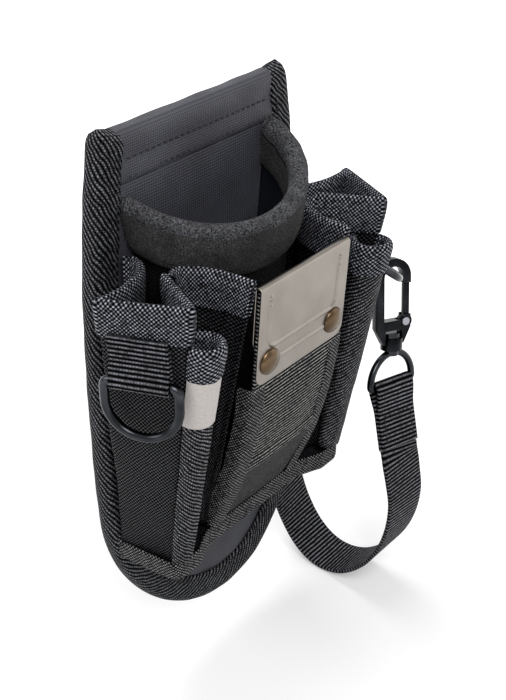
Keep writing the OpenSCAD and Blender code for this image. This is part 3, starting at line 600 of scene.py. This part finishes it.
def wallSpot(path, z0, z1, swell, soft):
    def where(u, w):
        z = z0 + (z1 - z0) * w
        line = path(z)
        p, n = curvePoint(line, u), curveSide(line, u)
        hang = sin(pi * w)
        ripple = wander(u * 60, 0, z * 0.3, 9) + 0.4 * wander(u * 90, 4, z, 8)
        ripple *= soft * min(1, 5 * (1 - w))
        return Vector((p.x, p.y, z)) - Vector((n.x, n.y, 0)) * (swell(u) * hang + ripple)
    return where


def bandSpot(path, z1, fold, soft):
    # tape folded over the edge of a wall: (away from the wall, height over the edge)
    def where(u, w):
        f = curvePoint(fold, w)
        line = path(z1 + f.y)
        p, n = curvePoint(line, u), curveSide(line, u)
        lump = 1 + soft * wander(u * 110, f.x, f.y, 9)
        at = Vector((p.x, p.y, z1 + f.y * (0.96 + 0.04 * lump))) - Vector((n.x, n.y, 0)) * f.x * lump
        return at
    return where


sidePath = between(sideLow, sideHigh, side["foot"], side["mouth"])
bandFold = [(1.35, -16), (1.6, -14.5), (1.75, -9), (1.7, -3.5), (1.25, -0.3), (0, 1.0), (-1.25, -0.3),
            (-1.7, -3.5), (-1.75, -9), (-1.6, -14.5), (-1.35, -16)]
penFold = [(x, y * 0.86 if y < 0 else y) for x, y in bandFold]


def sideSwell(u):
    # the broad outer face between the corners bows out a little
    return side["bow"] * sin(pi * (u - 0.47) / 0.22) if 0.47 < u < 0.69 else 0.0


gussetHigh = [(-47.8, -27.2), (-44.8, -24.6), (-41, -24.8), (-37.6, -28.6), (-35, -34), (-33.2, -40),
              (-32.2, -47), (-31.8, -52), (-31.6, -56)]
gussetLow = [(-36, -22.6), (-35, -22.9), (-34, -23.2), (-33.3, -24), (-32.8, -25), (-32.4, -26),
             (-32, -27), (-31.8, -28), (-31.6, -29)]
gussetPath = between(gussetLow, gussetHigh, side["gussetFoot"], side["mouth"])

penHigh = [(-63.4, -50.6), (-63.3, -54.6), (-61.4, -58.0), (-58.2, -59.2), (-54.0, -58.2), (-50.6, -54.6),
           (-49.8, -50.2), (-52.4, -45.6), (-56.6, -41.6)]
penLow = [(-61.3, -32.4), (-60.4, -34.6), (-58.6, -36.2), (-56.4, -36.8), (-53.6, -36.6), (-51.2, -35.2),
          (-50.0, -32.6), (-50.6, -30.4), (-52.4, -28.6)]
penPath = between(penLow, penHigh, side["penFoot"], side["penMouth"])

rows = (
    # name, its path, low, high, swell or fold, grid, finish, slot, node, thickness, wrinkles
    ("PocketWall", sidePath, side["foot"], side["mouth"], sideSwell, (136, 60), "wall",
     "pocket_cloth", "_pocket_wall", 1.2, 0.8),
    ("MouthTape", sidePath, 0, side["mouth"], bandFold, (200, 30), "basket",
     "binding_tape", "_mouth_tape", 0.9, 0.16),
    ("CentreGusset", gussetPath, 67.5, 201, lambda u: 0.0, (64, 50), "wall", "pocket_cloth",
     "_centre_gusset", 1.1, 0.5),
    ("GussetTape", gussetPath, 0, 202, bandFold, (96, 30), "basket", "binding_tape", None, 0.9, 0.16),
    ("PenPocket", penPath, 67.5, 184, lambda u: 0.5, (72, 50), "pen", "pocket_cloth",
     "_pen_pocket", 1.1, 0.45),
    ("PenTape", penPath, 0, side["penMouth"], penFold, (90, 30), "basket",
     "binding_tape", "_pen_tape", 0.9, 0.14),
)
for name, path, low, high, shape, grid, finish, slot, node, thick, soft in rows:
    if callable(shape):
        where = wallSpot(path, low, high, shape, soft)
    else:
        where = bandSpot(path, high, shape, soft)
    bm = clothGrid(*grid, where)
    for hand, shaped in (("left", bm), ("right", mirrored(bm))):
        addPiece(hand + name, shaped, look[finish], slot, [hand + node] if node else (), thick=thick)
print("side pockets made")

# centre pocket: ribbed front, bottom flap and the tapes down its edges
centre = {"half": 30, "fold": 101, "roll": 1.4, "bow": 1.6, "flapBow": 0.8}
frontLine = [(-56.9, 197), (-55.6, 180), (-54.6, 165), (-53.6, 151), (-51.9, 138), (-49.0, 125),
             (-45.8, 112), (-43.0, 103), (-42.0, 101)]


def frontSpot(u, w):
    p = curvePoint(frontLine, 1 - w)
    x = (2 * u - 1) * centre["half"]
    bow = 1 - (2 * u - 1) ** 2
    below = max(0.0, min(1.0, (150 - p.y) / 30))  # free of the clip
    fold = centre["roll"] * max(0.0, 1 - (p.y - centre["fold"]) / 7) ** 0.5
    soft = 0.5 * wander(x, 0, p.y, 16)
    return Vector((x, p.x - fold + below * (soft - centre["bow"] * bow), p.y))


addPiece("centrePocketFront", clothGrid(60, 90, frontSpot), look["ribbed"], "ribbed_cloth",
         ["centre_pocket_front"], thick=1.4)

flapLine = [(-43.0, 101.6), (-42.6, 99), (-39.6, 91), (-35.6, 82), (-31.6, 73.5), (-28.4, 67)]


def flapSpot(u, w):
    p = curvePoint(flapLine, 1 - w)
    x = (2 * u - 1) * (centre["half"] - 0.6)
    bow = 1 - (2 * u - 1) ** 2
    return Vector((x, p.x - bow * centre["flapBow"] + 0.4 * wander(x, 2, p.y, 13), p.y))


addPiece("centrePocketFlap", clothGrid(50, 40, flapSpot), look["flap"], "flap_cloth",
         ["centre_pocket_flap"], thick=1.2)

edgeTapeLine = [(-53.6, 151), (-53.2, 147), (-51.8, 138), (-49.3, 125), (-46.1, 112), (-43.4, 102.4),
                (-40.6, 94), (-36.2, 83), (-32.2, 74), (-29.4, 67.5)]
# (in from the pocket's side edge, forward of the cloth) round that edge
edgeTapeFold = [(7.2, 0.9), (6.4, 1.3), (3.4, 1.5), (0.8, 1.3), (-1.2, 0.4), (-2.1, -1.4), (-2.2, -4.0),
                (-2.1, -6.4)]


def edgeTapeSpot(u, w):
    p = curvePoint(edgeTapeLine, 1 - u)
    f = curvePoint(edgeTapeFold, w)
    # the tape thins out at its top, where it runs in behind the steel
    lump = (1 + 0.15 * wander(p.y, f.x, 0, 10)) * (min(1.0, (152 - p.y) / 14) if f.y > 0 else 1.0)
    return Vector((-centre["half"] + f.x, p.x - f.y * lump, p.y))


tapeBm = clothGrid(90, 20, edgeTapeSpot)
twin = mirrored(tapeBm)
addPiece("leftCentreEdgeTape", tapeBm, look["tape"], "binding_tape", thick=0.9)
addPiece("rightCentreEdgeTape", twin, look["tape"], "binding_tape", thick=0.9)
print("centre pocket made")

# floor of the pockets and the tape round it
pocketFloor = {"up": 62.4, "tapeUp": 64, "in": 0.985}
floorLeft = [(-63.9, -2.2), (-63.6, -5), (-62.4, -17), (-60.8, -30), (-60.0, -32.6), (-57.6, -34.2),
             (-54, -34.6), (-47.4, -34.4), (-45.4, -33.8), (-36, -29.6), (-33.4, -28.9), (-30, -28.8),
             (-15, -28.9), (0, -29)]
floorLine = flat(floorLeft) + [Vector((-p[0], p[1], 0)) for p in reversed(floorLeft[:-1])]
floorRoute, floorLong = evenRoute(floorLine)
# (out from that line, up) round the tape
floorFold = [(-5.5, -6.9), (-1.2, -7.0), (0.8, -6.0), (1.1, -1.0), (1.3, 1.8), (1.0, 3.0)]


def floorTapeSpot(u, w):
    p = floorRoute(u)
    n = (floorRoute(min(1, u + 0.004)) - floorRoute(max(0, u - 0.004))).normalized()
    out = Vector((n.y, -n.x, 0)) * -1 if n.x < 0 else Vector((n.y, -n.x, 0))
    f = curvePoint(floorFold, w)
    lump = 0.35 * wander(u * floorLong, 0, f.y, 8)
    return Vector((p.x, p.y, pocketFloor["tapeUp"])) + out * (f.x + lump) + Vector((0, 0, f.y))


addPiece("floorTape", clothGrid(220, 18, floorTapeSpot), look["tape"], "binding_tape", ["floor_tape"],
         thick=0.9)


def floorSpot(u, w):
    p = floorRoute(0.012 + 0.976 * u)
    z = pocketFloor["up"] + 0.4 * wander(p.x, p.y * w, 0, 15)
    return Vector((p.x * pocketFloor["in"], p.y * w * 0.97 + (1 - w) * -2.6, z))


addPiece("pocketFloor", clothGrid(100, 16, floorSpot), look["rear"], "pocket_cloth", ["pocket_floor"],
         thick=1.4)
print("floor made")

# blank label on the left pen pocket
label = {"from": 0.0, "to": 0.6, "top": 171.6, "tall": 24, "out": 1.25}


def labelSpot(u, w):
    z = label["top"] - label["tall"] * (1 - w)
    line = penPath(z)
    k = label["from"] + (label["to"] - label["from"]) * u
    p, n = curvePoint(line, k), curveSide(line, k)
    curl = 0.25 * wander(u * 14, 0, z, 9)
    return Vector((p.x, p.y, z)) - Vector((n.x, n.y, 0)) * (label["out"] + curl)


addPiece("sideLabel", clothGrid(26, 36, labelSpot), look["label"], "label", ["side_label"], thick=0.5)
print("label made")

# where the right ring, the hook and its eye stand, one frame after another
hardware = {"wallPlace": (69.754, -31.286, 169), "wallTurn": -22.844, "wallLean": 7.53, "barOut": 5.18,
            "ringLift": 50, "ringDrop": 25.8, "hookTurn": (-12, 4, -26), "hookHang": 39.3, "eyeTurn": 16,
            "barDown": 18.8, "foldTilt": -10}


def turned(angle, axis):
    return Matrix.Rotation(radians(angle), 4, axis)


def moved(x, y, z):
    return Matrix.Translation((x, y, z))


wallFrame = moved(*hardware["wallPlace"]) @ turned(hardware["wallTurn"], "Z") \
    @ turned(hardware["wallLean"], "Y")
barFrame = wallFrame @ moved(hardware["barOut"], 0, 0)
wireFrame = barFrame @ turned(-hardware["wallLean"] - hardware["ringLift"], "Y") \
    @ moved(0, 0, -hardware["ringDrop"]) @ turned(hardware["ringLift"], "Y") \
    @ turned(-hardware["wallTurn"], "Z")
hookFrame = wireFrame @ turned(hardware["hookTurn"][2], "Z") @ turned(hardware["hookTurn"][1], "Y") \
    @ turned(hardware["hookTurn"][0], "X") @ moved(0, 0, -hardware["hookHang"])
foldFrame = hookFrame @ turned(hardware["eyeTurn"], "Z") @ moved(0, 0, -hardware["barDown"]) \
    @ turned(hardware["foldTilt"], "X")

# webbing tabs that hold the D-rings
ringTab = {"wide": 25, "thick": 1.6}
# (out from the wall, up) from the tab's sewn front down round the bar and up behind it
tabFold = [(-1.6, 21), (-1.2, 13), (-0.9, 9), (0.4, 5.2), (2.3, 2.4), (3.0, 0), (2.2, -2.1), (0, -3.0),
           (-2.2, -2.1), (-2.95, 0), (-3.0, 4), (-3.0, 10), (-3.0, 17)]


def tabSpot(u, w):
    f = curvePoint(tabFold, w)
    return barFrame @ Vector((f.x, (2 * u - 1) * ringTab["wide"] / 2, f.y))


tabBm = clothGrid(26, 60, tabSpot)
twin = mirrored(tabBm)
addPiece("rightRingTab", tabBm, look["webbing"], "webbing", ["right_ring_tab"], thick=ringTab["thick"])
addPiece("leftRingTab", twin, look["webbing"], "webbing", ["left_ring_tab"], thick=ringTab["thick"])
for sign, name in ((1, "right"), (-1, "left")):
    line = [barFrame @ Vector((-0.1, y, 7.6)) for y in range(-11, 12, 2)]
    line = [Vector((sign * p.x, p.y, p.z)) for p in line]
    face = barFrame.to_3x3() @ Vector((1, 0, 0.3))
    stitchRow(name + "TabStitches", line, (sign * face.x, face.y, face.z))
print("ring tabs made")

# steel clip: one sheet bent over the pocket's edge, with a pressed frame and two pips
clip = {"half": 30, "tall": 47, "thick": 0.8, "corner": 5.0, "bend": 1.15, "behind": 29, "lean": 4,
        "lineSide": 23.5, "lineFoot": 17, "lineCorner": 5, "lineTop": 37, "pip": 41,
        "barHeight": 9.5, "barHalf": 15,
        "footY": -54.41, "foot": 152.1, "press": 0.7}
clipFrame = moved(0, clip["footY"], clip["foot"]) @ turned(clip["lean"], "X")


def pressed(x, z):
    # two raised lines that run down beside the edges and turn in above the rivets, and two pips
    side, foot, turn = clip["lineSide"], clip["lineFoot"], clip["lineCorner"]
    if z > foot + turn:
        away = max(abs(abs(x) - side), z - clip["lineTop"])
    elif abs(x) < side - turn:
        away = abs(z - foot)
    else:
        away = abs(sqrt((abs(x) - side + turn) ** 2 + (z - foot - turn) ** 2) - turn)
    low = max(abs(z - clip["barHeight"]), abs(x) - clip["barHalf"])
    pip = sqrt((abs(x) - side) ** 2 + (z - clip["pip"]) ** 2) * 0.6
    return clip["press"] * max(0.0, 1 - (min(away, low, pip) / 0.9) ** 2)


def clipSpot(u, w):
    front = clip["tall"] - clip["bend"]
    arc = pi * clip["bend"] * 1.25
    run = w * (front + arc + clip["behind"])
    if run <= front:
        z, y = run, -0.4
    elif run <= front + arc:
        turn = (run - front) / arc * pi
        z, y = front + clip["bend"] * sin(turn), -0.4 + clip["bend"] * 1.25 * (1 - cos(turn))
    else:
        z, y = front - (run - front - arc), -0.4 + clip["bend"] * 2.5
    half = clip["half"]
    low = z if run <= front else z - (front - clip["behind"])
    if low < clip["corner"]:
        half -= clip["corner"] - sqrt(max(0.0, clip["corner"] ** 2 - (clip["corner"] - low) ** 2))
    x = (2 * u - 1) * half
    if run <= front:
        y -= pressed(x, z)
    return clipFrame @ Vector((x, y, z))


addPiece("tapeClip", clothGrid(170, 220, clipSpot), look["steel"], "clip_steel", ["tape_clip"],
         thick=clip["thick"] * 0.9)

# domed rivet heads: a shallow cap that stands on the sheet
rivet = {"across": 22, "up": 10, "wide": 12.2, "dome": 2.5}
bm = bmesh.new()
for sign in (-1, 1):
    made = bmesh.ops.create_uvsphere(bm, u_segments=40, v_segments=24, radius=rivet["wide"] / 2 * mm)
    middle = clipFrame @ Vector((sign * rivet["across"], -clip["thick"], rivet["up"]))
    place = Matrix.Translation(spot(*middle))
    squashed = Matrix.Diagonal((1, rivet["dome"] / (rivet["wide"] / 2), 1, 1))
    bmesh.ops.transform(bm, verts=made["verts"], matrix=place @ turned(clip["lean"], "X") @ squashed)
addPiece("rivetHeads", bm, look["rivet"], "rivet_metal")
for node in ("clip_rivets", "rivet_washers"):
    dress(node, "rivet")
print("clip made")


# rings and hook: the cast and bent pieces keep the frame's own shapes, with their edges eased
def easedCopy(name, node, material, slot, body, width):
    bm = bmesh.new()
    bm.from_mesh(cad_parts[node].data)
    bmesh.ops.remove_doubles(bm, verts=bm.verts, dist=0.002 * mm)
    bmesh.ops.dissolve_limit(bm, angle_limit=radians(2), verts=bm.verts, edges=bm.edges)
    piece = addPiece(name, bm, material, slot, [node], body=body)
    if width:
        ease = piece.modifiers.new("easedEdges", "BEVEL")
        ease.width, ease.segments = width * mm, 3
        ease.limit_method, ease.angle_limit = "ANGLE", radians(35)
        ease.harden_normals = True
    else:
        piece.data.shade_smooth()
    return piece


easedCopy("hookBody", "hook_frame", look["hook"], "hook_metal", "hook", 0.55)
easedCopy("hookGate", "hook_gate", look["hook"], "hook_metal", "gate", 0.35)
for node, finish in (("left_d_ring", "ring"), ("right_d_ring", "ring"), ("swivel_eye", "ring"),
                     ("gate_pin", "pin"), ("gate_spring", "pin")):
    dress(node, finish)
print("rings and hook made")

# strap: its end folded round the eye's bar, and the free loop down and up behind the panel
strap = {"wide": 25, "thick": 1.7, "start": 31.8, "lead": 6, "follow": 9}
strapFold = [(1.0, -31.7), (1.0, -22), (1.1, -12), (2.1, -6), (2.78, -1.5), (2.4, 1.6), (0, 2.8),
             (-2.4, 1.6), (-2.78, -1.5), (-2.1, -6), (-1.1, -12), (-1.0, -22), (-1.0, -31.7)]


def foldSpot(u, w):
    f = curvePoint(strapFold, w)
    return foldFrame @ Vector(((2 * u - 1) * strap["wide"] / 2, f.x, f.y))


addPiece("strapEnd", clothGrid(26, 90, foldSpot), look["webbing"], "webbing", ["strap_end_loop"],
         body="strap_end", thick=strap["thick"])
outer = foldFrame.to_3x3() @ Vector((0, -1, 0))
sewn = [(-9.5, -14.5), (9.5, -14.5), (9.5, -28.5), (-9.5, -28.5), (-9.5, -14.5)]
for k in range(4):
    a, b = Vector(sewn[k]), Vector(sewn[k + 1])
    for back, name in ((-1, "Front"), (1, "Back")):
        line = [foldFrame @ Vector((p.x, back * 2.0, p.y)) for p in (a.lerp(b, i / 6) for i in range(7))]
        stitchRow("strapStitches%s%d" % (name, k + 1), line, outer * -back, body="strap_end", long=2.0)

# loose yarns at the cut end behind the fold
fray = {"yarns": 34, "half": 12, "at": -31, "out": 1.3, "root": 0.32, "tip": 0.12}
bm = bmesh.new()
bm.verts.layers.float_vector.new("cloth")
for i in range(fray["yarns"]):
    x = fray["half"] * (2 * i / (fray["yarns"] - 1) - 1)
    long = 2.2 + 1.4 * wander(x, 3, 1, 2)
    sway, out = 1.5 * wander(x, 9, 2, 3), 1.9 + 1.2 * abs(wander(x, 1, 7, 2))
    tip = foldFrame @ Vector((x + sway, out, fray["at"] - long))
    root = foldFrame @ Vector((x, fray["out"], fray["at"]))
    lean = (tip - root).to_track_quat("Z", "Y").to_matrix().to_4x4()
    made = bmesh.ops.create_cone(bm, cap_ends=True, segments=5, radius1=fray["root"] * mm,
                                 radius2=fray["tip"] * mm, depth=(tip - root).length * mm)
    middle = Matrix.Translation(spot(*((root + tip) / 2)))
    bmesh.ops.transform(bm, verts=made["verts"], matrix=middle @ lean)
addPiece("strapFray", bm, look["thread"], None, body="strap_end")

strapBends = [(78, -60.6, 64.8), (77.5, -64.5, 49), (78, -66.5, 34), (77.5, -65, 18), (77, -60, 3),
              (76.5, -52, -10), (76, -41, -20.5), (76, -29, -25.5), (76, -17, -24.5), (76, -6, -17),
              (75.5, 2.5, -4), (73.5, 6.5, 11), (70, 7.7, 27), (65.5, 7.7, 43), (61, 7.7, 59),
              (56.5, 7.7, 75)]
strapTop = foldFrame @ Vector((0, 0, -strap["start"]))
strapShift = strapTop - Vector(strapBends[0])
strapLine = [strapTop, foldFrame @ Vector((0, 0, -strap["start"] - strap["lead"]))]
strapLine += [Vector(p) + strapShift * max(0.0, 1 - i / strap["follow"])
              for i, p in enumerate(strapBends) if i]
strapRoute, strapLong = evenRoute(strapLine)
strapSideTop = foldFrame.to_3x3() @ Vector((1, 0, 0))


def strapSpot(u, w):
    p = strapRoute(w)
    along = (strapRoute(min(1, w + 0.006)) - strapRoute(max(0, w - 0.006))).normalized()
    k = min(1.0, 3 * w)
    across = strapSideTop.lerp(Vector((1, 0, 0)), k)
    across = (across - along * across.dot(along)).normalized()
    return p + across * (2 * u - 1) * strap["wide"] / 2


tapeStrap = addPiece("tapeStrap", clothGrid(14, 220, strapSpot), look["webbing"], "webbing",
                     ["tape_strap"], body=None, thick=strap["thick"])
sewnEnd = [(0.14, 0.925), (0.86, 0.925), (0.86, 0.985), (0.14, 0.985), (0.14, 0.925)]
for k in range(4):
    a, b = Vector(sewnEnd[k]), Vector(sewnEnd[k + 1])
    line = [strapSpot(*a.lerp(b, i / 6)) + Vector((0, 1.05, 0)) for i in range(7)]
    stitchRow("sewnEndStitches%d" % (k + 1), line, (0, 1, 0), long=2.0)
spot(*strapLine[0])
spot(*strapLine[-1])
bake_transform(tapeStrap)
print("strap made", round(strapLong, 1), "mm long")

# floor, light and camera: heights in millimetres, size and the two distances at which the floor
# turns white in metres
stageLook = {"floor": -28.0, "size": 4.0, "plain": 0.28, "white": 0.6, "floorGlow": 0.24, "world": 0.22}


def whiteRays(tree):
    # the rays that see the backdrop as white: straight to the eye, in a reflection or through glass
    rays = addNode(tree, "LightPath", ()).node.outputs
    seen = rays["Is Camera Ray"]
    for kind in ("Is Glossy Ray", "Is Transmission Ray"):
        seen = addNode(tree, "Math", (seen, rays[kind]), operation="MAXIMUM")
    return seen


bm = bmesh.new()
bmesh.ops.create_grid(bm, x_segments=1, y_segments=1, size=stageLook["size"],
                      matrix=Matrix.Translation(spot(0, 0, stageLook["floor"])))
mesh = bpy.data.meshes.new("floor")
bm.to_mesh(mesh)
bm.free()
floor = bpy.data.objects.new("floor", mesh)
bpy.context.scene.collection.objects.link(floor)
floorFinish, tree, shader = newMaterial("floorPaper", Roughness=0.9)
shader.inputs["Base Color"].default_value = tint("#f2f2f2")
shader.inputs["Emission Color"].default_value = (1, 1, 1, 1)
far = addNode(tree, "VectorMath", (addNode(tree, "TexCoord", (), "Object"),), "Value", operation="LENGTH")
glow = addNode(tree, "MapRange",
               (far, stageLook["plain"], stageLook["white"], stageLook["floorGlow"], 1.0))
strength = addNode(tree, "Math", (whiteRays(tree), glow), **times)
tree.links.new(strength, shader.inputs["Emission Strength"])
mesh.materials.append(floorFinish)

world = bpy.data.worlds.new("softRoom")
bpy.context.scene.world = world
world.use_nodes = True
tree = world.node_tree
strength = addNode(tree, "MapRange", (whiteRays(tree), 0.0, 1.0, stageLook["world"], 1.0))
background = tree.nodes["Background"]
background.inputs["Color"].default_value = (1, 1, 1, 1)
tree.links.new(strength, background.inputs["Strength"])

lamps = {
    "keyLamp": {"at": (-0.55, -0.75, 0.95), "size": 0.7, "watts": 11},
    "fillLamp": {"at": (0.95, -0.75, 0.35), "size": 0.9, "watts": 3},
    "topLamp": {"at": (0.1, 0.35, 1.1), "size": 0.8, "watts": 8},
    "edgeLamp": {"at": (-0.9, 0.5, 0.5), "size": 0.6, "watts": 4},
}
aim = spot(0, -25, 120)
for name, values in lamps.items():
    data = bpy.data.lights.new(name, "AREA")
    data.size, data.energy = values["size"], values["watts"]
    lamp = bpy.data.objects.new(name, data)
    lamp.location = values["at"]
    lamp.rotation_euler = (aim - lamp.location).to_track_quat("-Z", "Y").to_euler()
    bpy.context.scene.collection.objects.link(lamp)

view = {"around": -50.36, "above": 30.866, "roll": -0.431, "distance": 529.127, "aim": (0, -25, 150),
        "lens": 61.34, "shiftX": 0.01044, "shiftY": -0.01322}
a, e, r = (radians(view[k]) for k in ("around", "above", "roll"))
right = Vector((cos(a), sin(a), 0))
back = Vector((sin(a) * cos(e), -cos(a) * cos(e), sin(e)))
up = back.cross(right)
right, up = right * cos(r) + up * sin(r), up * cos(r) - right * sin(r)
data = bpy.data.cameras.new("camera")
data.lens, data.clip_start = view["lens"], 0.01
data.shift_x, data.shift_y = view["shiftX"], view["shiftY"]
camera = bpy.data.objects.new("camera", data)
camera.matrix_world = Matrix.Translation(spot(*view["aim"]) + back * view["distance"] * mm) \
    @ Matrix((right, up, back)).transposed().to_4x4()
bpy.context.scene.collection.objects.link(camera)
bpy.context.scene.camera = camera
bpy.context.scene.view_settings.view_transform = "Standard"
print("floor, lamps and camera made")
